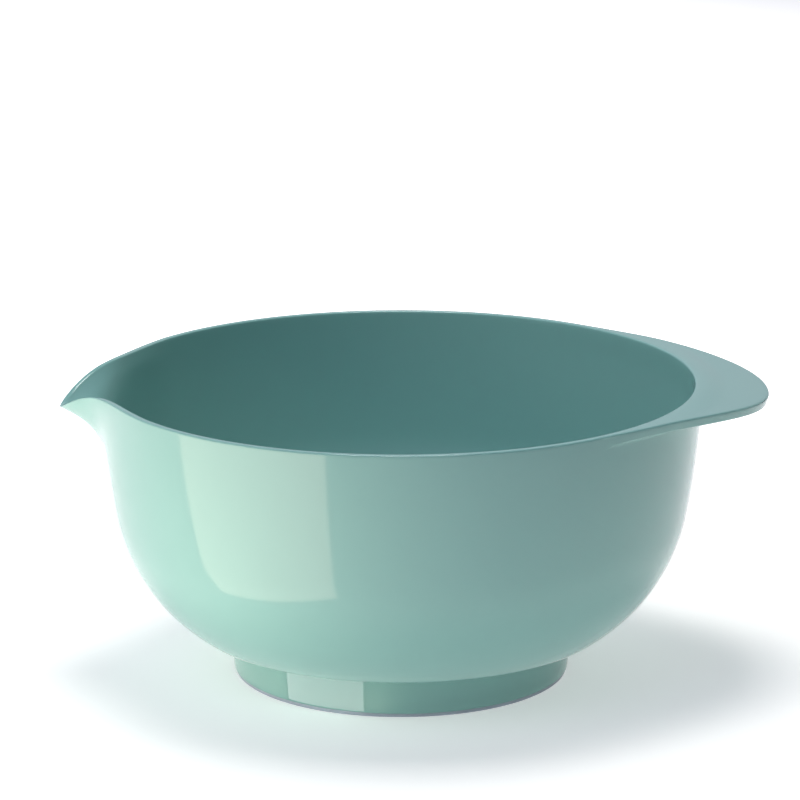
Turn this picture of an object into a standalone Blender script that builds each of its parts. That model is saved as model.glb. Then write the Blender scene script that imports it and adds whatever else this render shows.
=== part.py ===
"""Moulded mixing bowl with a pouring lip, a flange handle and a rubber base ring.

Units are metres, +Z is up. The origin is the centre of the bottom of the whole
object's box, so the bowl's own axis stands a little to the -X side of it. The
handle points to +X and the pouring lip to -X.
"""
import math

import bmesh
import bpy
from mathutils import Vector

MM = 0.001
TAU = 2.0 * math.pi

# Bowl skin, from the rim down: three tangent arcs, then a flat underside.
RIM_RADIUS = 142.0 * MM
HEIGHT = 141.4 * MM
WALL = 3.2 * MM
RIM_SLOPE = math.radians(2.26)      # lean of the wall from vertical at the rim
BELLY_SLOPE = math.radians(10.07)   # lean where the wall turns into the belly
SHOULDER_SLOPE = math.radians(54.5)  # lean where the belly turns under
FLAT = math.radians(90.0)
WALL_ARC = 456.0 * MM
BELLY_ARC = 86.4 * MM
SHOULDER_ARC = 15.0 * MM
SEGMENTS = 80

# Pouring lip, centred on -X.
LIP_REACH = 160.8 * MM
LIP_DROP = 13.4 * MM
LIP_BULGE_WIDTH = math.radians(11.6)
LIP_DROP_WIDTH = math.radians(8.5)
LIP_DEPTH = 8.2 * MM                # height in which the bulge fades by a factor e
LIP_FADE = 1.15                     # above 1 the fade starts gently and ends sooner
LIP_ROOT = 38.0 * MM                # height in which the rim's drop fades to nothing
LIP_PINCH = 0.6 * MM                # slight narrowing of the rim on each side of the lip
LIP_PINCH_ANGLE = math.radians(29.5)
LIP_PINCH_WIDTH = math.radians(16.0)

# Flange handle, centred on +X.
HANDLE_REACH = 172.8 * MM
HANDLE_HALF_ANGLE = math.radians(52.6)
HANDLE_FLARE = 84.0 * MM            # pull of the outline along the rim's tangent
HANDLE_ROUND = 36.0 * MM            # pull of the outline across the handle's end
HANDLE_THICKNESS = 4.6 * MM
HANDLE_DRAFT = 0.8 * MM             # how far the lower edge lies inside the upper one
HANDLE_BEND_START = 113.6 * MM      # distance from the axis where the droop begins
HANDLE_BEND_RADIUS = 340.0 * MM
HANDLE_ROWS = 3

# Foot and its rubber ring.
FOOT_TOP_RADIUS = 80.7 * MM
FOOT_RADIUS = 79.8 * MM
FOOT_INNER_RADIUS = 74.0 * MM
FOOT_BOTTOM = 2.3 * MM
FIT_GAP = 0.3 * MM
RING_RADIUS = 79.0 * MM
RING_TREAD_WIDTH = 4.9 * MM
RIB_WIDTH = 1.8 * MM
RIB_HEIGHT = 3.0 * MM
GROOVE_RADIUS = 76.5 * MM           # middle of the groove and of the ring's rib
GROOVE_WIDTH = RIB_WIDTH + 2.0 * FIT_GAP
GROOVE_DEPTH = RIB_HEIGHT + FIT_GAP

EDGE_ROUND = 0.7 * MM
MERGE = 0.00001

AXIS_X = (LIP_REACH - HANDLE_REACH) / 2.0


def clear_scene():
    """Remove every object that is already in the scene."""
    for old in list(bpy.data.objects):
        bpy.data.objects.remove(old, do_unlink=True)


def plastic(name, colour, roughness):
    """A non-metal Principled material."""
    material = bpy.data.materials.new(name)
    material.use_nodes = True
    shader = material.node_tree.nodes["Principled BSDF"]
    shader.inputs["Base Color"].default_value = (*colour, 1.0)
    shader.inputs["Roughness"].default_value = roughness
    shader.inputs["Metallic"].default_value = 0.0
    return material


def add_object(name, bm, material):
    """Put a finished mesh on the bowl's axis as one smooth-shaded object."""
    bmesh.ops.recalc_face_normals(bm, faces=bm.faces)
    mesh = bpy.data.meshes.new(name)
    bm.to_mesh(mesh)
    bm.free()
    mesh.shade_smooth()
    mesh.set_sharp_from_angle(angle=math.radians(35.0))
    piece = bpy.data.objects.new(name, mesh)
    piece.location = (AXIS_X, 0.0, 0.0)
    piece.data.materials.append(material)
    bpy.context.scene.collection.objects.link(piece)
    return piece


def radius_of(vertex):
    """Distance of a vertex from the bowl's axis."""
    return math.hypot(vertex.co.x, vertex.co.y)


def arc_down(start, radius, slopes):
    """Points that follow a tangent arc down and inwards, one for each slope after the first."""
    r, z = start
    first = slopes[0]
    points = []
    for slope in slopes[1:]:
        drop = radius * (math.sin(slope) - math.sin(first))
        inset = radius * (math.cos(first) - math.cos(slope))
        points.append((r - inset, z - drop))
    return points


def spread(start, end, count, ease=1.0):
    """Values from start to end in count steps, crowded at the start when ease is over 1."""
    return [start + (end - start) * (i / count) ** ease for i in range(count + 1)]


def skin_profile():
    """Outer skin as (radius, height), from the rim to the axis, with the foot's circles on it."""
    band_slope = math.asin(math.sin(RIM_SLOPE) + HANDLE_THICKNESS / WALL_ARC)
    points = [(RIM_RADIUS, HEIGHT)]
    points += arc_down(points[-1], WALL_ARC, [RIM_SLOPE, band_slope])
    points += arc_down(points[-1], WALL_ARC, spread(band_slope, BELLY_SLOPE, 6, 1.2))
    points += arc_down(points[-1], BELLY_ARC, spread(BELLY_SLOPE, SHOULDER_SLOPE, 7))
    points += arc_down(points[-1], SHOULDER_ARC, spread(SHOULDER_SLOPE, FLAT, 3))
    underside = points[-1][1]
    half_groove = GROOVE_WIDTH / 2.0
    for r in (FOOT_TOP_RADIUS, GROOVE_RADIUS + half_groove, GROOVE_RADIUS - half_groove,
              FOOT_INNER_RADIUS, FOOT_INNER_RADIUS / 2.0, 0.0):
        points.append((r, underside))
    return points


def lathe(points, closed):
    """Spin (radius, height) points about the Z axis; the first point starts on +X."""
    bm = bmesh.new()
    verts = [bm.verts.new((r, 0.0, z)) for r, z in points]
    pairs = list(zip(verts, verts[1:]))
    if closed:
        pairs.append((verts[-1], verts[0]))
    edges = [bm.edges.new(pair) for pair in pairs]
    bmesh.ops.spin(bm, geom=verts + edges, cent=(0.0, 0.0, 0.0), axis=(0.0, 0.0, 1.0),
                   angle=TAU, steps=SEGMENTS, use_merge=True)
    bmesh.ops.remove_doubles(bm, verts=bm.verts, dist=MERGE)
    bmesh.ops.recalc_face_normals(bm, faces=bm.faces)
    return bm


def level_rim(bm):
    """Make the rim's top face flat where the wall's lean has lifted its inner edge."""
    for vertex in bm.verts:
        vertex.co.z = min(vertex.co.z, HEIGHT)


def bell(angle, width):
    """Smooth bump of height 1 at angle 0."""
    return math.exp(-(angle / width) ** 2)


def shape_lip(bm):
    """Pull the rim out and down about -X, as a beak that fades into the wall below."""
    for vertex in bm.verts:
        r = radius_of(vertex)
        root = HEIGHT - LIP_ROOT
        if vertex.co.z <= root:
            continue
        angle = math.atan2(vertex.co.y, -vertex.co.x)
        rise = (vertex.co.z - root) / LIP_ROOT
        drop = LIP_DROP * bell(angle, LIP_DROP_WIDTH)
        below_edge = (HEIGHT - vertex.co.z) - drop * (1.0 - rise ** 2)
        bulge = (LIP_REACH - RIM_RADIUS) * bell(angle, LIP_BULGE_WIDTH)
        pinch = LIP_PINCH * bell(abs(angle) - LIP_PINCH_ANGLE, LIP_PINCH_WIDTH)
        fade = (max(below_edge, 0.0) / LIP_DEPTH) ** LIP_FADE
        moved = r + (bulge - pinch) * math.exp(-fade)
        vertex.co.x *= moved / r
        vertex.co.y *= moved / r
        vertex.co.z -= drop * rise ** 2


def handle_outline(angle):
    """Distance of the handle's edge from the axis at an angle from +X.

    Half of the outline is one Bezier curve: it leaves the rim along its tangent
    and crosses the +X line squarely at the handle's reach.
    """
    start = Vector((math.cos(HANDLE_HALF_ANGLE), math.sin(HANDLE_HALF_ANGLE))) * RIM_RADIUS
    along = Vector((math.sin(HANDLE_HALF_ANGLE), -math.cos(HANDLE_HALF_ANGLE)))
    tip = Vector((HANDLE_REACH, 0.0))
    controls = (start, start + along * HANDLE_FLARE, tip + Vector((0.0, HANDLE_ROUND)), tip)
    low, high = 0.0, 1.0
    for _ in range(40):
        t = (low + high) / 2.0
        s = 1.0 - t
        weights = (s ** 3, 3 * s * s * t, 3 * s * t * t, t ** 3)
        point = sum((w * c for w, c in zip(weights, controls)), Vector((0.0, 0.0)))
        if math.atan2(point.y, point.x) > abs(angle):
            low = t
        else:
            high = t
    return point.length


def handle_droop(x):
    """How far the handle has bent down at a distance x from the axis."""
    past = max(x - HANDLE_BEND_START, 0.0)
    return HANDLE_BEND_RADIUS - math.sqrt(HANDLE_BEND_RADIUS ** 2 - past ** 2)


def pull_handle(bm):
    """Extrude the top band of the outer wall about +X, row by row, to the handle's outline."""
    band_floor = HEIGHT - HANDLE_THICKNESS - MERGE
    faces = []
    for face in bm.faces:
        centre = face.calc_center_median()
        outside = all(radius_of(v) > RIM_RADIUS - WALL / 2.0 for v in face.verts)
        in_band = all(v.co.z > band_floor for v in face.verts)
        upright = abs(face.normal.z) < 0.5
        if outside and in_band and upright and abs(math.atan2(centre.y, centre.x)) < HANDLE_HALF_ANGLE:
            faces.append(face)
    for row in range(1, HANDLE_ROWS + 1):
        result = bmesh.ops.extrude_face_region(bm, geom=faces)
        bmesh.ops.delete(bm, geom=faces, context="FACES")
        faces = [item for item in result["geom"] if isinstance(item, bmesh.types.BMFace)]
        moved = {vertex for face in faces for vertex in face.verts}
        for vertex in moved:
            angle = math.atan2(vertex.co.y, vertex.co.x)
            level = vertex.co.z + handle_droop(vertex.co.x)
            top = level > HEIGHT - HANDLE_THICKNESS / 2.0
            reach = handle_outline(angle)
            if not top:
                reach = max(reach - HANDLE_DRAFT, RIM_RADIUS)
            r = RIM_RADIUS + (reach - RIM_RADIUS) * row / HANDLE_ROWS
            drop = handle_droop(r * math.cos(angle))
            vertex.co.x = r * math.cos(angle)
            vertex.co.y = r * math.sin(angle)
            vertex.co.z = HEIGHT - drop - (0.0 if top else HANDLE_THICKNESS)
    bmesh.ops.remove_doubles(bm, verts=bm.verts, dist=MERGE)


def underside_faces(bm, inner, outer):
    """Flat faces of the outer underside between two radii."""
    found = []
    for face in bm.faces:
        radii = [radius_of(v) for v in face.verts]
        if face.normal.z < -0.99 and min(radii) > inner - MERGE and max(radii) < outer + MERGE:
            found.append(face)
    return found


def pull_foot(bm):
    """Extrude the foot down from the underside, then sink the groove for the ring's rib."""
    faces = underside_faces(bm, FOOT_INNER_RADIUS, FOOT_TOP_RADIUS)
    result = bmesh.ops.extrude_face_region(bm, geom=faces)
    bmesh.ops.delete(bm, geom=faces, context="FACES")
    bottom = [item for item in result["geom"] if isinstance(item, bmesh.types.BMVert)]
    for vertex in bottom:
        r = radius_of(vertex)
        if r > FOOT_TOP_RADIUS - MERGE:
            vertex.co.x *= FOOT_RADIUS / r
            vertex.co.y *= FOOT_RADIUS / r
        vertex.co.z = FOOT_BOTTOM
    half_groove = GROOVE_WIDTH / 2.0
    bm.normal_update()
    faces = underside_faces(bm, GROOVE_RADIUS - half_groove, GROOVE_RADIUS + half_groove)
    result = bmesh.ops.extrude_face_region(bm, geom=faces)
    bmesh.ops.delete(bm, geom=faces, context="FACES")
    roof = [item for item in result["geom"] if isinstance(item, bmesh.types.BMVert)]
    bmesh.ops.translate(bm, verts=roof, vec=(0.0, 0.0, GROOVE_DEPTH))


def round_edges(bm):
    """Round the edges of the rim, the lip and the handle."""
    crease = math.radians(50.0)
    lowest = HEIGHT - LIP_DROP - HANDLE_THICKNESS
    edges = [e for e in bm.edges if e.calc_face_angle(0.0) > crease
             and all(v.co.z > lowest and radius_of(v) > RIM_RADIUS - 2.0 * WALL for v in e.verts)]
    bmesh.ops.bevel(bm, geom=edges, offset=EDGE_ROUND, offset_type="OFFSET", segments=1,
                    profile=0.5, affect="EDGES", clamp_overlap=True, material=-1)


def make_bowl_body():
    """The one-piece moulding: wall, pouring lip, handle, floor and foot."""
    bm = lathe(skin_profile(), closed=False)
    shape_lip(bm)
    bmesh.ops.solidify(bm, geom=bm.faces[:], thickness=WALL)
    level_rim(bm)
    bm.normal_update()
    pull_foot(bm)
    pull_handle(bm)
    bm.normal_update()
    round_edges(bm)
    return add_object("bowl_body", bm, plastic("sage_moulding", (0.33, 0.52, 0.48), 0.12))


def make_base_ring():
    """The rubber ring: a flat tread under the foot with a rib that sits in the foot's groove."""
    tread_top = FOOT_BOTTOM - FIT_GAP
    inner = RING_RADIUS - RING_TREAD_WIDTH
    rib_in = GROOVE_RADIUS - RIB_WIDTH / 2.0
    rib_out = GROOVE_RADIUS + RIB_WIDTH / 2.0
    soft = 0.5 * MM
    section = [
        (inner + soft, 0.0), (RING_RADIUS - soft, 0.0), (RING_RADIUS, soft),
        (RING_RADIUS, tread_top), (rib_out, tread_top), (rib_out, tread_top + RIB_HEIGHT),
        (rib_in, tread_top + RIB_HEIGHT), (rib_in, tread_top), (inner, tread_top), (inner, soft),
    ]
    bm = lathe(section, closed=True)
    return add_object("base_ring", bm, plastic("grey_rubber", (0.25, 0.25, 0.28), 0.65))


clear_scene()
make_bowl_body()
make_base_ring()
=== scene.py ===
"""Studio model of a mixing bowl: a moulding with a pouring lip and a flange handle, and a base ring.

Every size is in metres. The bowl's mouth faces +Z, the handle points to +X and the
pouring lip to -X. The frame gives the resting plane and the outer limits of the object.
"""

import logging
import math
from dataclasses import dataclass, field
from enum import Enum

import bmesh
import bpy
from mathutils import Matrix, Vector


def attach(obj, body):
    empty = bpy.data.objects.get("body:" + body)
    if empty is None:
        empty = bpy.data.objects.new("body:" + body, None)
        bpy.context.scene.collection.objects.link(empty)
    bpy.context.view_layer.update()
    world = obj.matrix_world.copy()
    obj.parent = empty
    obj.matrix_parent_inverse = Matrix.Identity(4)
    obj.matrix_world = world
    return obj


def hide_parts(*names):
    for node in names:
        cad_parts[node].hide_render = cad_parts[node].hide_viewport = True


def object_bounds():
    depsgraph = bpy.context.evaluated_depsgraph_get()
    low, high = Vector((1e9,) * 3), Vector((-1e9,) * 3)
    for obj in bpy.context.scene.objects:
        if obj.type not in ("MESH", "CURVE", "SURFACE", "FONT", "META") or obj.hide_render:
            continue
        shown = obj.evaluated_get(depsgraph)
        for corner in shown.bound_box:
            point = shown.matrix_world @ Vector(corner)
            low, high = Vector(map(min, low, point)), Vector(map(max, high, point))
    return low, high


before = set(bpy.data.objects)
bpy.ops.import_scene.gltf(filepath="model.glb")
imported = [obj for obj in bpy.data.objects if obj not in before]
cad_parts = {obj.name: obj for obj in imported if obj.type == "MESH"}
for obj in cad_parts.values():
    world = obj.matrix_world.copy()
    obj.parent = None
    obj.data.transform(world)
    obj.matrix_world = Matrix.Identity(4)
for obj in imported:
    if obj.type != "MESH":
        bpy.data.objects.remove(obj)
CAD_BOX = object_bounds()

MM = 0.001
TAU = 2.0 * math.pi
RIGHT = math.radians(90.0)
MERGE = 0.001 * MM  # vertices closer than this become one
SHARP_ANGLE = math.radians(50.0)  # edges that turn by more than this stay crisp
HALVINGS = 48  # steps of a search by halving
PROBE_TURN = 0.002  # turn to the nearby points that give the skin's direction
PROBE_STEP = 0.2 * MM  # distance to the one below

Colour = tuple[float, float, float]
Place = tuple[float, float, float]

log = logging.getLogger("mixing_bowl")


class Zone(Enum):
    """Parts of the section that move in their own way where the handle stands out."""

    PLAIN = "plain"
    FILLET = "fillet"
    FLAT = "flat"
    SOFT = "soft"
    SIDE = "side"
    TOP = "top"


def bell(angle: float, width: float) -> float:
    """Height of a smooth bump of height 1 at angle 0."""
    return math.exp(-((angle / width) ** 2))


def ease(value: float) -> float:
    """Smooth step of a value that is held between 0 and 1."""
    held = min(max(value, 0.0), 1.0)
    return held * held * (3.0 - 2.0 * held)


def spread(start: float, end: float, count: int, power: float = 1.0) -> list[float]:
    """Values from start to end, without the start itself.

    Args:
        start: Value before the first one returned.
        end: Last value.
        count: How many values are returned.
        power: Above 1 the values crowd near the start.

    Returns:
        The values in order.
    """
    return [start + (end - start) * (i / count) ** power for i in range(1, count + 1)]


@dataclass
class SkinPoint:
    """One point of the bowl's section, with what carries it to its final place.

    Attributes:
        radius: Distance from the axis where the rim is plain.
        height: Height above the resting plane where the rim is plain.
        slope: Lean of the outer skin from vertical there.
        depth: How far the point lies inside the wall, from the outer skin.
        zone: How it moves where the handle stands out.
        share: How far along its zone it lies, from 0 to 1.
        shaped: Whether the lip and the handle move it at all.
    """

    radius: float
    height: float
    slope: float = 0.0
    depth: float = 0.0
    zone: Zone = Zone.PLAIN
    share: float = 0.0
    shaped: bool = True


@dataclass
class BowlSkin:
    """Outer skin of the bowl: three tangent arcs from the rim down to a flat underside.

    Attributes:
        rim_radius: Radius of the rim.
        height: Height of the rim above the resting plane.
        wall: Thickness of the wall.
        rim_slope: Lean of the skin from vertical at the rim.
        belly_slope: Lean where the wall turns into the belly.
        shoulder_slope: Lean where the belly turns under.
        wall_arc: Radius of the wall's arc.
        belly_arc: Radius of the belly's arc.
        shoulder_arc: Radius of the last arc.
    """

    rim_radius: float = 142.0 * MM
    height: float = 141.4 * MM
    wall: float = 3.2 * MM
    rim_slope: float = math.radians(2.26)
    belly_slope: float = math.radians(10.07)
    shoulder_slope: float = math.radians(54.5)
    wall_arc: float = 456.0 * MM
    belly_arc: float = 86.4 * MM
    shoulder_arc: float = 15.0 * MM

    def arcs(self) -> list[tuple[float, float, float]]:
        """List the arcs from the rim down.

        Returns:
            Each arc's radius and its first and last slope.
        """
        return [
            (self.wall_arc, self.rim_slope, self.belly_slope),
            (self.belly_arc, self.belly_slope, self.shoulder_slope),
            (self.shoulder_arc, self.shoulder_slope, RIGHT),
        ]

    def point(self, slope: float) -> tuple[float, float]:
        """Place on the skin where it leans by a slope.

        Args:
            slope: Lean from vertical, between the rim's lean and a right angle.

        Returns:
            Radius and height.
        """
        r, z = self.rim_radius, self.height
        for arc, first, last in self.arcs():
            end = min(slope, last)
            r -= arc * (math.cos(first) - math.cos(end))
            z -= arc * (math.sin(end) - math.sin(first))
            if slope <= last:
                break
        return r, z

    def slope_at(self, height: float) -> float:
        """Find the skin's lean at a height by halving.

        Args:
            height: Height above the resting plane.

        Returns:
            The lean from vertical.
        """
        low, high = self.rim_slope, RIGHT
        for _ in range(HALVINGS):
            middle = (low + high) / 2.0
            if self.point(middle)[1] > height:
                low = middle
            else:
                high = middle
        return (low + high) / 2.0

    def radius_near_rim(self, height: float) -> float:
        """Radius of the skin on its uppermost arc.

        Args:
            height: Height above the resting plane.

        Returns:
            The radius.
        """
        lean = math.asin(math.sin(self.rim_slope) + (self.height - height) / self.wall_arc)
        return self.rim_radius - self.wall_arc * (math.cos(self.rim_slope) - math.cos(lean))

    def underside(self) -> float:
        """Height of the flat underside."""
        return self.point(RIGHT)[1]


@dataclass
class PouringLip:
    """Beak pulled out of the rim about -X, fading into the wall below it.

    Attributes:
        reach: Distance of the tip from the axis.
        drop: How far the rim dips at the tip.
        bulge_width: Half width of the beak as an angle.
        drop_width: Half width of the dip.
        depth: Height below the edge over which the beak fades.
        fade: Above 1 the fade starts gently and ends sooner.
        root: Height below the rim where the lip ends.
        root_ease: Share of that height over which it starts.
        pinch: How far the rim is drawn in on each side.
        crease_angle: Where the pinch ends.
        crease_depth: Height over which the pinch fades.
        inner_pinch: How far the inner skin stands in beside the channel.
        crease_start: Height below the rim at which it does so in full.
        thinning: Share by which the wall is thinner at the tip.
        thinning_width: Half width of the thinner part.
    """

    reach: float = 160.8 * MM
    drop: float = 13.4 * MM
    bulge_width: float = math.radians(11.6)
    drop_width: float = math.radians(8.5)
    depth: float = 8.2 * MM
    fade: float = 1.15
    root: float = 38.0 * MM
    root_ease: float = 0.15
    pinch: float = 0.6 * MM
    crease_angle: float = math.radians(35.0)
    crease_depth: float = 26.0 * MM
    inner_pinch: float = 0.8 * MM
    crease_start: float = 8.0 * MM
    thinning: float = 0.3
    thinning_width: float = math.radians(16.0)

    def narrowing(self, angle: float) -> float:
        """Share of the pinch at an angle, which ends in a soft crease and is 0 on the lip's line.

        Args:
            angle: Angle from -X.

        Returns:
            A share that is 1 at most, two thirds of the way to the crease.
        """
        away = abs(angle) / self.crease_angle
        highest = (1.0 - 2.0 / 3.0) * (2.0 / 3.0) ** 2
        return max(1.0 - away, 0.0) * away**2 / highest

    def place(self, skin: BowlSkin, angle: float, radius: float, height: float) -> tuple[float, float]:
        """Move one point of the skin.

        Args:
            skin: The bowl's plain skin.
            angle: Angle of the point from -X.
            radius: Its radius on the plain skin.
            height: Its height on the plain skin.

        Returns:
            Radius and height on the lip.
        """
        rise = max(0.0, (height - skin.height + self.root) / self.root)
        drop = self.drop * bell(angle, self.drop_width)
        below_edge = max(skin.height - height - drop * (1.0 - rise**2), 0.0)
        bulge = (self.reach - skin.rim_radius) * bell(angle, self.bulge_width)
        fade = math.exp(-((below_edge / self.depth) ** self.fade))
        pinch = self.pinch * self.narrowing(angle) * math.exp(-below_edge / self.crease_depth)
        outwards = (bulge * fade - pinch) * ease(rise / self.root_ease)
        return radius + outwards, height - drop * rise**2


@dataclass
class FlangeHandle:
    """Flat handle that grows out of the rim about +X and droops towards its end.

    Attributes:
        reach: Distance of the end from the axis.
        half_angle: Where the outline leaves the rim.
        flare: Pull of the outline along the rim's tangent.
        roundness: Pull of the outline across the end.
        thickness: Height of the edge.
        draft: How far the edge's foot lies inside its top.
        bend_start: Distance from the axis where the droop begins.
        bend_radius: Radius of the droop.
        bend_ease: Distance from the rim's inner edge over which it sets in.
        fillet: Radius between the underside and the wall.
        root_gain: Share by which the wall is thicker at the root.
        draft_at: Width of the handle from which the draft is full.
        merge_at: Width from which the underside stands free of the wall.
        fillet_limit: Largest fillet as a share of the width.
        edge_limit: Largest rounding of the lower edge as a share of the width.
    """

    reach: float = 172.8 * MM
    half_angle: float = math.radians(52.6)
    flare: float = 84.0 * MM
    roundness: float = 36.0 * MM
    thickness: float = 4.6 * MM
    draft: float = 0.6 * MM
    bend_start: float = 113.6 * MM
    bend_radius: float = 340.0 * MM
    bend_ease: float = 14.0 * MM
    fillet: float = 1.2 * MM
    root_gain: float = 0.25
    draft_at: float = 8.0 * MM
    merge_at: float = 0.6 * MM
    fillet_limit: float = 0.6
    edge_limit: float = 0.3

    def outline(self, skin: BowlSkin, angle: float) -> float:
        """Distance of the handle's edge from the axis.

        Half of the outline is one Bezier curve. It leaves the rim along its tangent
        and crosses the +X line squarely.

        Args:
            skin: The bowl's plain skin.
            angle: Angle from +X.

        Returns:
            The distance, which is the rim's radius away from the handle.
        """
        if abs(angle) >= self.half_angle:
            return skin.rim_radius
        start = Vector((math.cos(self.half_angle), math.sin(self.half_angle))) * skin.rim_radius
        along = Vector((math.sin(self.half_angle), -math.cos(self.half_angle)))
        tip = Vector((self.reach, 0.0))
        controls = (start, start + along * self.flare, tip + Vector((0.0, self.roundness)), tip)
        low, high = 0.0, 1.0
        point = tip
        for _ in range(HALVINGS):
            t = (low + high) / 2.0
            s = 1.0 - t
            weights = (s**3, 3.0 * s * s * t, 3.0 * s * t * t, t**3)
            point = sum((w * c for w, c in zip(weights, controls)), Vector((0.0, 0.0)))
            if math.atan2(point.y, point.x) > abs(angle):
                low = t
            else:
                high = t
        return point.length

    def droop(self, x: float, beyond: float) -> float:
        """How far the handle has bent down.

        Args:
            x: Distance from the axis along +X.
            beyond: Distance outwards from the rim's inner edge.

        Returns:
            The drop, which starts gently at the rim's inner edge.
        """
        past = max(x - self.bend_start, 0.0)
        drop = self.bend_radius - math.sqrt(self.bend_radius**2 - past**2)
        return drop * ease(beyond / self.bend_ease)


@dataclass
class Foot:
    """Short foot under the bowl, with a groove that holds the rubber ring.

    Attributes:
        top_radius: Outer radius under the shoulder.
        radius: Outer radius at the bottom.
        inner_radius: Inner radius.
        bottom: Height of the bottom face, which stands on the ring.
        groove_radius: Radius of the groove's middle.
        groove_width: Width of the groove.
        groove_depth: Depth of the groove.
        outer_fillet: Radius between the foot and the shoulder.
        inner_fillet: Radius between the foot and the underside.
        edge: Rounding of the bottom edges.
    """

    top_radius: float = 80.7 * MM
    radius: float = 79.8 * MM
    inner_radius: float = 74.0 * MM
    bottom: float = 2.0 * MM
    groove_radius: float = 76.5 * MM
    groove_width: float = 2.4 * MM
    groove_depth: float = 3.3 * MM
    outer_fillet: float = 2.2 * MM
    inner_fillet: float = 3.0 * MM
    edge: float = 0.3 * MM


def quarter(centre: tuple[float, float], size: float, start: float, turn: float,
            count: int) -> list[tuple[float, float]]:
    """Points along an arc in the section's plane.

    Args:
        centre: Radius and height of the arc's centre.
        size: The arc's own radius.
        start: Angle of the first point, from the outward direction.
        turn: Signed angle that the arc covers.
        count: Number of steps, one less than the number of points.

    Returns:
        Radius and height of each point.
    """
    angles = [start + turn * i / count for i in range(count + 1)]
    return [(centre[0] + size * math.cos(a), centre[1] + size * math.sin(a)) for a in angles]


@dataclass(frozen=True)
class GlossMoulding:
    """Glossy one-piece moulding in a muted sage green."""

    colour: Colour = (0.245, 0.475, 0.430)
    tint_change: float = 0.015
    roughness: float = 0.085
    refraction: float = 1.52
    clouds_per_metre: float = 9.0
    haze_per_metre: float = 38.0
    ripples_per_metre: float = 160.0
    ripple_depth: float = 0.15 * MM

    def build(self, name: str) -> bpy.types.Material:
        """Make the material.

        Args:
            name: Name of the material.

        Returns:
            A node material on Object coordinates.
        """
        tree = NodeTree(name)
        place = tree.coordinates()
        cloud = tree.noise(place, scale=self.clouds_per_metre, detail=3.0)
        dark, light = shade(self.colour, 1.0 - self.tint_change), shade(self.colour, 1.0 + self.tint_change)
        tree.link(tree.ramp(cloud, 0.35, 0.65, dark, light), "Base Color")
        haze = tree.noise(place, scale=self.haze_per_metre, detail=4.0)
        tree.link(tree.spread(haze, self.roughness * 0.85, self.roughness * 1.25), "Roughness")
        ripple = tree.noise(place, scale=self.ripples_per_metre, detail=2.0)
        tree.bump(ripple, strength=0.02, distance=self.ripple_depth)
        tree.set("IOR", self.refraction)
        return tree.material


@dataclass(frozen=True)
class RingRubber:
    """Matt grey rubber with a fine moulded grain."""

    colour: Colour = (0.44, 0.49, 0.55)
    tint_change: float = 0.1
    roughness: float = 0.55
    dust_per_metre: float = 60.0
    pores_per_metre: float = 1400.0
    pore_depth: float = 0.1 * MM

    def build(self, name: str) -> bpy.types.Material:
        """Make the material.

        Args:
            name: Name of the material.

        Returns:
            A node material on Object coordinates.
        """
        tree = NodeTree(name)
        place = tree.coordinates()
        dust = tree.noise(place, scale=self.dust_per_metre, detail=5.0)
        dark, light = shade(self.colour, 1.0 - self.tint_change), shade(self.colour, 1.0 + self.tint_change)
        tree.link(tree.ramp(dust, 0.3, 0.7, dark, light), "Base Color")
        tree.link(tree.spread(dust, self.roughness * 0.9, self.roughness * 1.15), "Roughness")
        pores = tree.noise(place, scale=self.pores_per_metre, detail=2.0)
        tree.bump(pores, strength=0.25, distance=self.pore_depth)
        return tree.material


def shade(colour: Colour, amount: float) -> tuple[float, float, float, float]:
    """A colour made lighter or darker, with full alpha."""
    return (*(min(part * amount, 1.0) for part in colour), 1.0)


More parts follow.
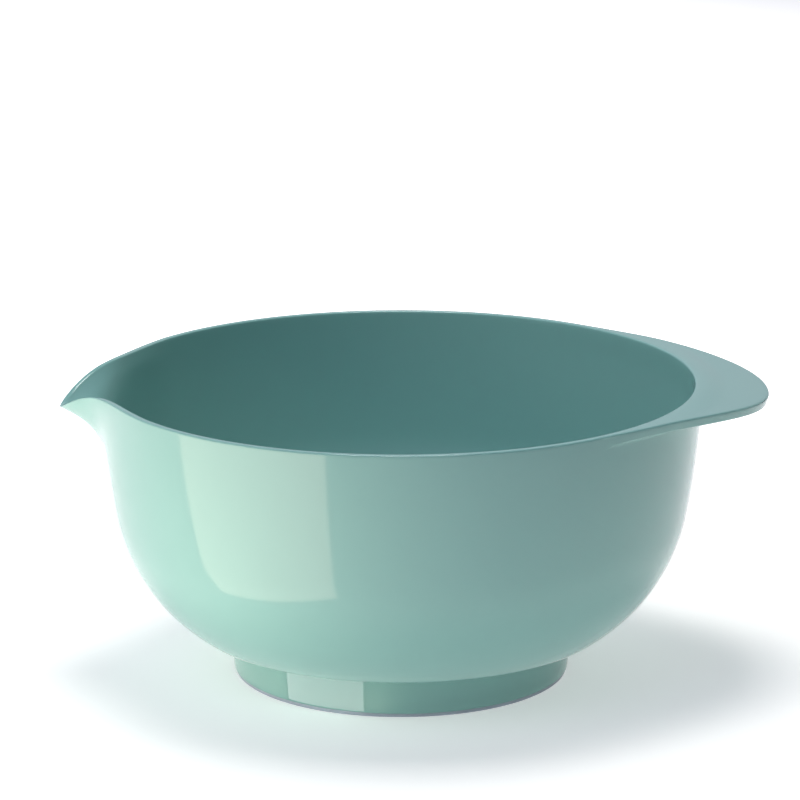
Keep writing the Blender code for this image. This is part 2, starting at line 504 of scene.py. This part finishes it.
class NodeTree:
    """Short way to write a Principled material's nodes."""

    def __init__(self, name: str) -> None:
        """Start a material with one Principled shader."""
        self.material = bpy.data.materials.new(name)
        self.material.use_nodes = True
        self.nodes = self.material.node_tree.nodes
        self.links = self.material.node_tree.links
        self.shader = self.nodes["Principled BSDF"]

    def coordinates(self) -> bpy.types.NodeSocket:
        """Object coordinates."""
        return self.nodes.new("ShaderNodeTexCoord").outputs["Object"]

    def noise(self, place: bpy.types.NodeSocket, scale: float, detail: float) -> bpy.types.NodeSocket:
        """Noise factor.

        Args:
            place: Coordinates in metres.
            scale: Features per metre.
            detail: Octaves.

        Returns:
            The factor socket.
        """
        node = self.nodes.new("ShaderNodeTexNoise")
        node.inputs["Scale"].default_value = scale
        node.inputs["Detail"].default_value = detail
        self.links.new(place, node.inputs["Vector"])
        return node.outputs["Fac"]

    def ramp(self, factor: bpy.types.NodeSocket, low: float, high: float,
             dark: tuple[float, float, float, float],
             light: tuple[float, float, float, float]) -> bpy.types.NodeSocket:
        """Colour ramp between two colours.

        Args:
            factor: What drives the ramp.
            low: Factor of the first colour.
            high: Factor of the second colour.
            dark: First colour.
            light: Second colour.

        Returns:
            The colour socket.
        """
        node = self.nodes.new("ShaderNodeValToRGB")
        node.color_ramp.elements[0].position = low
        node.color_ramp.elements[1].position = high
        node.color_ramp.elements[0].color = dark
        node.color_ramp.elements[1].color = light
        self.links.new(factor, node.inputs["Fac"])
        return node.outputs["Color"]

    def spread(self, factor: bpy.types.NodeSocket, low: float, high: float) -> bpy.types.NodeSocket:
        """A 0 to 1 factor mapped to a range.

        Args:
            factor: What is mapped.
            low: Value at 0.
            high: Value at 1.

        Returns:
            The mapped value.
        """
        node = self.nodes.new("ShaderNodeMapRange")
        node.inputs["To Min"].default_value = low
        node.inputs["To Max"].default_value = high
        self.links.new(factor, node.inputs["Value"])
        return node.outputs["Result"]

    def bump(self, height: bpy.types.NodeSocket, strength: float, distance: float) -> None:
        """Raise the surface by a height map.

        Args:
            height: The map.
            strength: Share of the effect.
            distance: Depth in metres.
        """
        node = self.nodes.new("ShaderNodeBump")
        node.inputs["Strength"].default_value = strength
        node.inputs["Distance"].default_value = distance
        self.links.new(height, node.inputs["Height"])
        self.links.new(node.outputs["Normal"], self.shader.inputs["Normal"])

    def link(self, socket: bpy.types.NodeSocket, name: str) -> None:
        """Link a socket to one of the shader's inputs."""
        self.links.new(socket, self.shader.inputs[name])

    def set(self, name: str, value: float) -> None:
        """Set one of the shader's inputs."""
        self.shader.inputs[name].default_value = value


def finish_piece(name: str, bm: bmesh.types.BMesh, axis_x: float, material: bpy.types.Material,
                 node: str) -> bpy.types.Object:
    """Turn a mesh on the bowl's axis into a finished piece of the object.

    Args:
        name: Name of the piece.
        bm: The mesh, which is freed.
        axis_x: Where the bowl's axis stands in the object's frame.
        material: Its material.
        node: The CAD node that it stands for.

    Returns:
        The object, at the origin, with its place in its mesh.
    """
    bmesh.ops.translate(bm, verts=bm.verts, vec=(axis_x, 0.0, 0.0))
    bmesh.ops.recalc_face_normals(bm, faces=bm.faces)
    mesh = bpy.data.meshes.new(name)
    bm.to_mesh(mesh)
    bm.free()
    mesh.shade_smooth()
    mesh.set_sharp_from_angle(angle=SHARP_ANGLE)
    piece = bpy.data.objects.new(name, mesh)
    piece.data.materials.append(material)
    bpy.context.scene.collection.objects.link(piece)
    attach(piece, "root")
    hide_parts(node)
    log.info("%s: %d faces, %s", name, len(mesh.polygons), material.name)
    return piece


def lathe(verts: list[bmesh.types.BMVert], bm: bmesh.types.BMesh, closed: bool, steps: int) -> None:
    """Join vertices in order and spin them about the Z axis.

    Args:
        verts: Section vertices in the X-Z plane.
        bm: Their mesh.
        closed: Whether the last vertex joins the first.
        steps: Columns round the circle.
    """
    pairs = list(zip(verts, verts[1:]))
    if closed:
        pairs.append((verts[-1], verts[0]))
    edges = [bm.edges.new(pair) for pair in pairs]
    bmesh.ops.spin(bm, geom=verts + edges, cent=(0.0, 0.0, 0.0), axis=(0.0, 0.0, 1.0),
                   angle=TAU, steps=steps, use_merge=True)
    bmesh.ops.remove_doubles(bm, verts=bm.verts, dist=MERGE)


@dataclass
class BowlBody:
    """The one-piece moulding: wall, pouring lip, handle, floor and foot.

    Attributes:
        axis_x: Where the bowl's axis stands.
        skin: Outer skin.
        lip: Pouring lip.
        handle: Flange handle.
        foot: Foot.
        finish: Finish of the whole moulding.
        rim_round: Rounding of the rim's and the handle's edges.
        level_over: Height below the rim over which the wall's depth turns level.
        flat_step: Spacing of the rings of vertices on the underside.
        flat_steps: Number of those rings, with the middle as the first.
        columns: Columns of faces round the bowl.
    """

    axis_x: float
    skin: BowlSkin = field(default_factory=BowlSkin)
    lip: PouringLip = field(default_factory=PouringLip)
    handle: FlangeHandle = field(default_factory=FlangeHandle)
    foot: Foot = field(default_factory=Foot)
    finish: GlossMoulding = field(default_factory=GlossMoulding)
    rim_round: float = 0.8 * MM
    level_over: float = 16.0 * MM
    flat_step: float = 12.0 * MM
    flat_steps: int = 6
    columns: int = 360

    def section(self) -> list[SkinPoint]:
        """The whole section, from the middle of the underside round the rim to the floor's middle."""
        return self.foot_points() + self.wall_points() + self.rim_points() + self.inside_points()

    def foot_points(self) -> list[SkinPoint]:
        """Lay out the underside and the foot, up to the shoulder.

        Returns:
            The points in order.
        """
        foot, top = self.foot, self.skin.underside()
        groove_in = foot.groove_radius - foot.groove_width / 2.0
        groove_out = foot.groove_radius + foot.groove_width / 2.0
        edge, inner, outer = foot.edge, foot.inner_fillet, foot.outer_fillet
        line = [(self.flat_step * i, top) for i in range(self.flat_steps)]
        line += quarter((foot.inner_radius - inner, top - inner), inner, RIGHT, -RIGHT, 6)
        line += [(foot.inner_radius, z) for z in spread(top - inner, foot.bottom + edge, 4)][:-1]
        line += quarter((foot.inner_radius + edge, foot.bottom + edge), edge, 2.0 * RIGHT, RIGHT, 3)
        line += [(groove_in, foot.bottom), (groove_in, foot.bottom + foot.groove_depth)]
        line += [(groove_out, foot.bottom + foot.groove_depth), (groove_out, foot.bottom)]
        line += quarter((foot.radius - edge, foot.bottom + edge), edge, -RIGHT, RIGHT, 3)
        wall_low, wall_top = foot.bottom + edge, top - outer
        line += [(foot.radius + (foot.top_radius - foot.radius) * t, wall_low + (wall_top - wall_low) * t)
                 for t in (0.2, 0.4, 0.6, 0.8)]
        line += quarter((foot.top_radius + outer, wall_top), outer, 2.0 * RIGHT, -RIGHT, 6)
        flat_end = self.skin.point(RIGHT)[0]
        line += [(r, top) for r in spread(foot.top_radius + outer, flat_end, 3)][:-1]
        return [SkinPoint(r, z, shaped=False) for r, z in line]

    def wall_points(self) -> list[SkinPoint]:
        """Lay out the outer skin from the shoulder up to where the handle's fillet starts.

        Returns:
            The points in order.
        """
        skin = self.skin
        top = skin.height - self.handle.thickness - 2.0 * self.handle.fillet
        slopes = [RIGHT] + spread(RIGHT, skin.shoulder_slope, 6)
        slopes += spread(skin.shoulder_slope, skin.belly_slope, 26)
        last = skin.point(skin.belly_slope)[1]
        heights = spread(last, top, 20)
        slopes += [skin.slope_at(z) for z in heights]
        return [SkinPoint(*skin.point(slope), slope) for slope in slopes]

    def rim_points(self) -> list[SkinPoint]:
        """Lay out the handle's underside, its edge, the rim's top and the rounded edges between.

        Returns:
            The points in order.
        """
        skin, handle, edge = self.skin, self.handle, self.rim_round
        band = skin.height - handle.thickness
        start = band - 2.0 * handle.fillet
        points = []
        for zone, low, high, steps in ((Zone.FILLET, start, band - handle.fillet, 7),
                                       (Zone.FLAT, band - handle.fillet, band, 10),
                                       (Zone.SOFT, band, band + edge, 4),
                                       (Zone.SIDE, band + edge, skin.height - edge, 3)):
            heights = spread(low, high, steps)
            points += [self.on_skin(z, zone=zone, share=(i + 1) / steps) for i, z in enumerate(heights)]
        soft_steps, flat_steps = 5, 14
        turns = spread(0.0, RIGHT, soft_steps)
        points += [self.on_skin(skin.height - edge * (1.0 - math.sin(turn)), Zone.TOP, 1.0,
                                edge * (1.0 - math.cos(turn))) for turn in turns]
        shares = spread(0.0, 1.0, flat_steps)
        points += [self.on_skin(skin.height, Zone.TOP, 1.0 - share, edge + (skin.wall - 2.0 * edge) * share)
                   for share in shares]
        points += [self.on_skin(skin.height - edge * (1.0 - math.cos(turn)), Zone.TOP, 0.0,
                                skin.wall - edge * (1.0 - math.sin(turn))) for turn in turns]
        return points

    def inside_points(self) -> list[SkinPoint]:
        """Lay out the inner skin, from under the rim down to the middle of the floor.

        Returns:
            The points in order.
        """
        skin = self.skin
        last = skin.point(skin.belly_slope)[1]
        heights = spread(skin.height - self.rim_round, last, 26)
        points = [self.on_skin(z, Zone.PLAIN, 0.0, skin.wall) for z in heights]
        slopes = spread(skin.belly_slope, skin.shoulder_slope, 26)
        slopes += spread(skin.shoulder_slope, RIGHT, 6)
        for slope in slopes:
            r, z = skin.point(slope)
            points.append(SkinPoint(r, z, slope, depth=skin.wall))
        floor = skin.underside() + skin.wall
        edge_of_floor = points[-1].radius
        points += [SkinPoint(edge_of_floor * s, floor, shaped=False) for s in (0.8, 0.6, 0.4, 0.2, 0.0)]
        return points

    def on_skin(self, height: float, zone: Zone, share: float, depth: float = 0.0) -> SkinPoint:
        """Section point at a height of the skin.

        Args:
            height: Height on the outer skin.
            zone: How it moves where the handle stands out.
            share: How far along its zone it lies.
            depth: How far it lies inside the wall.

        Returns:
            The point.
        """
        slope = self.skin.slope_at(height)
        return SkinPoint(self.skin.point(slope)[0], height, slope, depth, zone, share)

    def surface(self, angle: float, height: float, radius: float) -> Vector:
        """Place a point of the outer skin, with the lip pulled out and no handle.

        Args:
            angle: Angle of the column from +X.
            height: Height on the plain skin.
            radius: Radius on the plain skin.

        Returns:
            The place about the bowl's own axis.
        """
        from_lip = math.remainder(angle - math.pi, TAU)
        r, z = self.lip.place(self.skin, from_lip, radius, height)
        return Vector((r * math.cos(angle), r * math.sin(angle), z))

    def carry(self, point: SkinPoint, angle: float, length: float) -> Vector:
        """Final place of a section point in one column of the bowl.

        Args:
            point: The section point.
            angle: Angle of the column from +X.
            length: How far the handle stands out in the column.

        Returns:
            The place about the bowl's own axis.
        """
        outward = Vector((math.cos(angle), math.sin(angle), 0.0))
        if not point.shaped:
            return outward * point.radius + Vector((0.0, 0.0, point.height))
        place = self.surface(angle, point.height, point.radius)
        if point.depth > 0.0:
            place -= self.inward(point, angle, place, outward)
        if length <= 0.0 or point.zone is Zone.PLAIN:
            return place
        plain = math.hypot(place.x, place.y)
        if point.zone is Zone.TOP:
            out, level = plain + length * point.share, place.z
        else:
            out, level = self.flange(point, length)
            full = ease(length / self.handle.merge_at)
            out = plain + (out - plain) * full
            level = place.z + (level - place.z) * full
        beyond = out - self.skin.rim_radius + self.skin.wall
        drop = self.handle.droop(out * math.cos(angle), beyond)
        return outward * out + Vector((0.0, 0.0, level - drop))

    def inward(self, point: SkinPoint, angle: float, place: Vector, outward: Vector) -> Vector:
        """Step outwards from a point inside the wall to the skin.

        It is square to the skin lower down and level at the rim, so the rim's top stays
        level across the wall. The wall thins a little at the lip.

        Args:
            point: The section point.
            angle: Angle of the column from +X.
            place: Where the column's skin lies.
            outward: Level direction away from the axis.

        Returns:
            The step.
        """
        skin, lip = self.skin, self.lip
        ahead = self.surface(angle + PROBE_TURN, point.height, point.radius)
        behind = self.surface(angle - PROBE_TURN, point.height, point.radius)
        below = self.surface(angle, point.height - PROBE_STEP * math.cos(point.slope),
                             point.radius - PROBE_STEP * math.sin(point.slope))
        square = (ahead - behind).cross(place - below).normalized()
        near_rim = ease(1.0 - (skin.height - point.height) / self.level_over)
        from_lip = math.remainder(angle - math.pi, TAU)
        thin = 1.0 - lip.thinning * near_rim * bell(from_lip, lip.thinning_width)
        thin += self.handle.root_gain * near_rim * bell(math.remainder(angle, TAU), self.handle.half_angle)
        depth = point.depth * thin
        under = skin.height - point.height
        high = ease(under / lip.crease_start) * ease(1.0 - under / lip.root)
        depth += lip.inner_pinch * lip.narrowing(from_lip) * high * point.depth / skin.wall
        return square.lerp(outward, near_rim).normalized() * depth

    def flange(self, point: SkinPoint, length: float) -> tuple[float, float]:
        """Where a point of the handle's underside or edge lies, before the droop.

        Args:
            point: The section point.
            length: How far the handle stands out in the column.

        Returns:
            Radius and height.
        """
        skin, handle = self.skin, self.handle
        band = skin.height - handle.thickness
        fillet = min(handle.fillet, handle.fillet_limit * length)
        edge = min(self.rim_round, handle.edge_limit * length)
        draft = handle.draft * min(length / handle.draft_at, 1.0)
        turn = RIGHT * point.share
        wall = skin.radius_near_rim(band)
        if point.zone is Zone.FILLET:
            level = band - fillet * (1.0 - math.sin(turn))
            return skin.radius_near_rim(level) + fillet * (1.0 - math.cos(turn)), level
        if point.zone is Zone.FLAT:
            return wall + fillet + (length - draft - edge - fillet) * point.share, band
        if point.zone is Zone.SOFT:
            out = wall + length - draft - edge * (1.0 - math.sin(turn))
            return out, band + edge * (1.0 - math.cos(turn))
        level = band + edge + (skin.height - self.rim_round - band - edge) * point.share
        return skin.radius_near_rim(level) + length - draft * (1.0 - point.share), level

    def build(self) -> bpy.types.Object:
        """Spin the plain section, then carry each vertex to its final place.

        Returns:
            The finished piece.
        """
        bm = bmesh.new()
        mark = bm.verts.layers.int.new("section_point")
        section = self.section()
        verts = []
        for index, point in enumerate(section):
            apart = point.depth / 2.0
            vert = bm.verts.new((point.radius - apart, 0.0, point.height))
            vert[mark] = index
            verts.append(vert)
        lathe(verts, bm, closed=False, steps=self.columns)
        turn = TAU / self.columns
        lengths = {}
        for vert in bm.verts:
            column = round(math.atan2(vert.co.y, vert.co.x) / turn)
            if column not in lengths:
                lengths[column] = self.handle.outline(self.skin, column * turn) - self.skin.rim_radius
            vert.co = self.carry(section[vert[mark]], column * turn, lengths[column])
        bmesh.ops.remove_doubles(bm, verts=bm.verts, dist=MERGE)
        material = self.finish.build("sage_moulding")
        return finish_piece("bowl_body_visual", bm, self.axis_x, material, "bowl_body")


@dataclass
class BaseRing:
    """Rubber ring: a flat tread under the foot with a rib that sits in the foot's groove.

    Attributes:
        axis_x: Where the bowl's axis stands.
        foot: The foot that it sits under.
        finish: Finish of the ring.
        radius: Outer radius.
        tread_width: Width of the tread.
        rib_width: Width of the rib.
        rib_height: Height of the rib above the tread.
        edge: Rounding of the tread's lower edges.
        soft: Rounding of the other edges.
        gap: Air between the tread and the foot.
        columns: Columns of faces round the ring.
    """

    axis_x: float
    foot: Foot = field(default_factory=Foot)
    finish: RingRubber = field(default_factory=RingRubber)
    radius: float = 79.0 * MM
    tread_width: float = 4.9 * MM
    rib_width: float = 1.8 * MM
    rib_height: float = 3.0 * MM
    edge: float = 0.55 * MM
    soft: float = 0.3 * MM
    gap: float = 0.08 * MM
    columns: int = 320

    def section(self) -> list[tuple[float, float]]:
        """Lay out the closed section, anticlockwise from the inner bottom edge.

        Returns:
            Radius and height of each point.
        """
        top, soft = self.foot.bottom - self.gap, self.soft
        inner = self.radius - self.tread_width
        rib_in = self.foot.groove_radius - self.rib_width / 2.0
        rib_out = self.foot.groove_radius + self.rib_width / 2.0
        crown = top + self.rib_height
        line = quarter((inner + self.edge, self.edge), self.edge, 2.0 * RIGHT, RIGHT, 5)
        line += quarter((self.radius - self.edge, self.edge), self.edge, -RIGHT, RIGHT, 5)
        line += quarter((self.radius - soft, top - soft), soft, 0.0, RIGHT, 3)
        line += [(rib_out, top)]
        line += quarter((rib_out - soft, crown - soft), soft, 0.0, RIGHT, 3)
        line += quarter((rib_in + soft, crown - soft), soft, RIGHT, RIGHT, 3)
        line += [(rib_in, top)]
        line += quarter((inner + soft, top - soft), soft, RIGHT, RIGHT, 3)
        return line

    def build(self) -> bpy.types.Object:
        """Spin the section into the ring.

        Returns:
            The finished piece.
        """
        bm = bmesh.new()
        verts = [bm.verts.new((r, 0.0, z)) for r, z in self.section()]
        lathe(verts, bm, closed=True, steps=self.columns)
        material = self.finish.build("grey_rubber")
        return finish_piece("base_ring_visual", bm, self.axis_x, material, "base_ring")


@dataclass
class Studio:
    """Pale floor with a painted glow, soft lights and the camera.

    Attributes:
        axis_x: Where the bowl's axis stands.
        camera_offset: How far the camera stands beside the bowl's axis.
        glow_centre: Point behind the bowl that the floor's glow is measured from.
        glow_span: Distance that the glow's ramp covers.
        glow: Distances from that point with the floor's brightness there.
        ring_facing: Reach above which a face of a ring counts as turned away from the axis.
        sky_left: Brightness of the surroundings towards -X.
        sky_right: Their brightness towards +X.
        left_corners: Corners of the glow on the floor that the wall mirrors as its highlight.
        foot_turn: First and last angle of the glow round the foot.
        card_turn: First and last angle of the card that the foot mirrors.
    """

    axis_x: float
    camera_offset: float = -0.46 * MM
    camera_height: float = 593.8 * MM
    camera_distance: float = 1821.7 * MM
    camera_pitch: float = math.radians(14.269)
    lens: float = 179.7
    floor_radius: float = 6.0
    ring_facing: float = 0.01
    glow_span: float = 4.0
    glow_centre: tuple[float, float, float] = (-0.35, 1.35, 0.0)
    glow: tuple[tuple[float, float], ...] = (
        (0.9, 0.9), (1.15, 0.6), (1.4, 0.42), (1.6, 0.4), (1.85, 0.3), (2.4, 0.03))
    floor_colour: Colour = (0.90, 0.88, 0.84)
    white: Colour = (1.0, 1.0, 1.0)
    warm: Colour = (1.0, 0.86, 0.75)
    cool: Colour = (0.66, 0.72, 1.0)
    sky_left: float = 0.40
    sky_right: float = 0.04
    left_corners: tuple[tuple[float, float], ...] = (
        (-0.95, -0.063), (-0.48, -0.95), (-0.071, -0.195), (-0.163, -0.102))
    glow_level: float = 1.0 * MM
    foot_turn: tuple[float, float] = (math.radians(148.0), math.radians(265.0))
    card_turn: tuple[float, float] = (math.radians(227.2), math.radians(257.1))

    def add_camera(self) -> None:
        """Long lens that looks across the handle and the lip, a little down."""
        data = bpy.data.cameras.new("studio_camera")
        data.lens = self.lens
        data.sensor_width = 36.0
        data.clip_end = 50.0
        camera = bpy.data.objects.new("studio_camera", data)
        camera.location = (self.axis_x + self.camera_offset, -self.camera_distance, self.camera_height)
        camera.rotation_euler = (RIGHT - self.camera_pitch, 0.0, 0.0)
        bpy.context.scene.collection.objects.link(camera)
        bpy.context.scene.camera = camera

    def add_floor(self) -> None:
        """Round pale floor, level with the resting plane. It also glows as a painted light: the glow is
        brightest near a point behind the bowl, fades with distance, whitens the floor and lights the bowl
        from below.
        """
        bm = bmesh.new()
        bmesh.ops.create_circle(bm, cap_ends=True, segments=96, radius=self.floor_radius)
        mesh = bpy.data.meshes.new("studio_floor")
        bm.to_mesh(mesh)
        bm.free()
        floor = bpy.data.objects.new("studio_floor", mesh)
        tree = NodeTree("glowing_pale_floor")
        tree.shader.inputs["Base Color"].default_value = (*self.floor_colour, 1.0)
        tree.set("Roughness", 0.9)
        tree.set("Specular IOR Level", 0.1)
        away = tree.nodes.new("ShaderNodeVectorMath")
        away.operation = "DISTANCE"
        away.inputs[1].default_value = self.glow_centre
        tree.links.new(tree.coordinates(), away.inputs[0])
        share = tree.nodes.new("ShaderNodeMath")
        share.operation = "DIVIDE"
        share.inputs[1].default_value = self.glow_span
        tree.links.new(away.outputs["Value"], share.inputs[0])
        fade = tree.nodes.new("ShaderNodeValToRGB")
        stops = fade.color_ramp.elements
        while len(stops) < len(self.glow):
            stops.new(0.5)
        for stop, (distance, level) in zip(stops, self.glow):
            stop.position = distance / self.glow_span
            stop.color = (level, level, level, 1.0)
        tree.links.new(share.outputs["Value"], fade.inputs["Fac"])
        # Painted glow: the floor emits light that fades with distance from glow_centre, which brightens the
        # floor and lights the bowl from below.
        tree.link(fade.outputs["Color"], "Emission Color")
        tree.set("Emission Strength", 1.0)
        floor.data.materials.append(tree.material)
        bpy.context.scene.collection.objects.link(floor)

    def add_panel(self, name: str, place: Place, target: Place, size: tuple[float, float],
                  watts: float, colour: Colour, glossy: bool) -> None:
        """Rectangular soft light.

        Args:
            name: Name of the light.
            place: Its centre.
            target: What it faces.
            size: Width and height.
            watts: Its power.
            colour: Its tint.
            glossy: Whether glossy surfaces mirror it.
        """
        data = bpy.data.lights.new(name, "AREA")
        data.shape = "RECTANGLE"
        data.size = size[0]
        data.size_y = size[1]
        data.energy = watts
        data.color = colour
        lamp = bpy.data.objects.new(name, data)
        lamp.location = place
        aim = Vector(target) - Vector(place)
        lamp.rotation_euler = aim.to_track_quat("-Z", "Y").to_euler()
        lamp.visible_camera = False
        lamp.visible_glossy = glossy
        bpy.context.scene.collection.objects.link(lamp)

    def add_glow(self, name: str, bm: bmesh.types.BMesh, strength: float, colour: Colour,
                 glossy: bool = True, diffuse: bool = True) -> None:
        """Thin glowing panel that shines from its front only and is hidden from the camera.

        Args:
            name: Name of the panel.
            bm: Its shape, which is freed.
            strength: Brightness of its front.
            colour: Its tint.
            glossy: Whether glossy surfaces mirror it.
            diffuse: Whether it lights matt surfaces.
        """
        mesh = bpy.data.meshes.new(name)
        bm.normal_update()
        bm.to_mesh(mesh)
        bm.free()
        panel = bpy.data.objects.new(name, mesh)
        tree = NodeTree(name)
        glow = tree.nodes.new("ShaderNodeEmission")
        glow.inputs["Color"].default_value = (*colour, 1.0)
        glow.inputs["Strength"].default_value = strength
        clear = tree.nodes.new("ShaderNodeBsdfTransparent")
        side = tree.nodes.new("ShaderNodeNewGeometry")
        mix = tree.nodes.new("ShaderNodeMixShader")
        tree.links.new(side.outputs["Backfacing"], mix.inputs["Fac"])
        tree.links.new(glow.outputs["Emission"], mix.inputs[1])
        tree.links.new(clear.outputs["BSDF"], mix.inputs[2])
        tree.links.new(mix.outputs["Shader"], tree.nodes["Material Output"].inputs["Surface"])
        panel.data.materials.append(tree.material)
        panel.visible_camera = False
        panel.visible_glossy = glossy
        panel.visible_diffuse = diffuse
        bpy.context.scene.collection.objects.link(panel)

    def quad(self, corners: tuple[tuple[float, float], ...], level: float) -> bmesh.types.BMesh:
        """Flat four-sided shape at a height, facing up.

        Args:
            corners: Its corners in order, anticlockwise from above.
            level: Its height.

        Returns:
            The shape.
        """
        bm = bmesh.new()
        bmesh.ops.create_grid(bm, x_segments=1, y_segments=1, size=1.0)
        order = sorted(bm.verts, key=lambda vert: math.atan2(vert.co.y, vert.co.x))
        for vert, corner in zip(order, corners):
            vert.co = (*corner, level)
        return bm

    def sector(self, ends: list[tuple[float, float]], start: float, end: float) -> bmesh.types.BMesh:
        """Part of a ring about the bowl's axis, facing up or towards the axis.

        Args:
            ends: Radius and height of the ring's two edges.
            start: Angle from +X where it begins.
            end: Angle where it ends.

        Returns:
            The shape.
        """
        bm = bmesh.new()
        verts = [bm.verts.new((r * math.cos(start), r * math.sin(start), z)) for r, z in ends]
        edge = bm.edges.new(verts)
        bmesh.ops.spin(bm, geom=verts + [edge], cent=(0.0, 0.0, 0.0), axis=(0.0, 0.0, 1.0),
                       angle=end - start, steps=24)
        bm.normal_update()
        away = [face for face in bm.faces
                if face.normal.z < -0.5 or face.normal.dot(face.calc_center_median()) > self.ring_facing]
        bmesh.ops.reverse_faces(bm, faces=away)
        bmesh.ops.translate(bm, verts=bm.verts, vec=(self.axis_x, 0.0, 0.0))
        return bm

    def add_sky(self) -> None:
        """Soft cool light from all round, brighter on one side."""
        world = bpy.data.worlds.new("studio_world")
        world.use_nodes = True
        nodes, links = world.node_tree.nodes, world.node_tree.links
        background = nodes["Background"]
        background.inputs["Color"].default_value = (*self.cool, 1.0)
        parts = nodes.new("ShaderNodeSeparateXYZ")
        links.new(nodes.new("ShaderNodeTexCoord").outputs["Generated"], parts.inputs["Vector"])
        blend = nodes.new("ShaderNodeMapRange")
        blend.inputs["From Min"].default_value = -1.0
        blend.inputs["To Min"].default_value = self.sky_left
        blend.inputs["To Max"].default_value = self.sky_right
        links.new(parts.outputs["X"], blend.inputs["Value"])
        links.new(blend.outputs["Result"], background.inputs["Strength"])
        bpy.context.scene.world = world

    def build(self) -> None:
        """Set up the whole studio."""
        self.add_camera()
        self.add_floor()
        self.add_sky()
        middle, low = (self.axis_x, 0.0, 70.0 * MM), (self.axis_x, 0.0, 30.0 * MM)
        left_glow = self.quad(self.left_corners, self.glow_level)
        self.add_glow("left_glow", left_glow, 3.55, self.warm)
        near_foot = [(84.0 * MM, self.glow_level), (100.0 * MM, self.glow_level)]
        self.add_glow("foot_glow", self.sector(near_foot, *self.foot_turn), 1.9, self.warm, glossy=False)
        upright = [(83.0 * MM, 17.0 * MM), (83.0 * MM, 0.2 * MM)]
        self.add_glow("foot_card", self.sector(upright, *self.card_turn), 4.8, self.white, diffuse=False)
        self.add_panel("back_panel", (0.4, 1.6, 0.8), middle, (2.6, 1.2), 3.8, self.white, glossy=True)
        self.add_panel("top_panel", (0.0, 0.1, 1.6), middle, (0.6, 0.6), 14.5, self.white, glossy=True)
        self.add_panel("front_panel", (-0.9, -1.3, 1.7), middle, (1.4, 0.9), 5.2, self.cool, glossy=False)
        self.add_panel("left_low_panel", (-0.9, -0.25, 0.2), low, (0.7, 0.38), 2.5, self.warm, glossy=False)
        bpy.context.scene.view_settings.view_transform = "Standard"
        log.info("studio: camera, floor, sky and panels")


def main() -> None:
    """Build the bowl, its ring and the studio in order."""
    logging.basicConfig(level=logging.INFO, format="%(name)s: %(message)s")
    low, high = CAD_BOX
    lip, handle = PouringLip(), FlangeHandle()
    axis_x = (lip.reach - handle.reach) / 2.0
    log.info("CAD box %s to %s", [round(v, 4) for v in low], [round(v, 4) for v in high])
    BowlBody(axis_x, lip=lip, handle=handle).build()
    BaseRing(axis_x).build()
    Studio(axis_x).build()


if __name__ == "__main__":
    main()
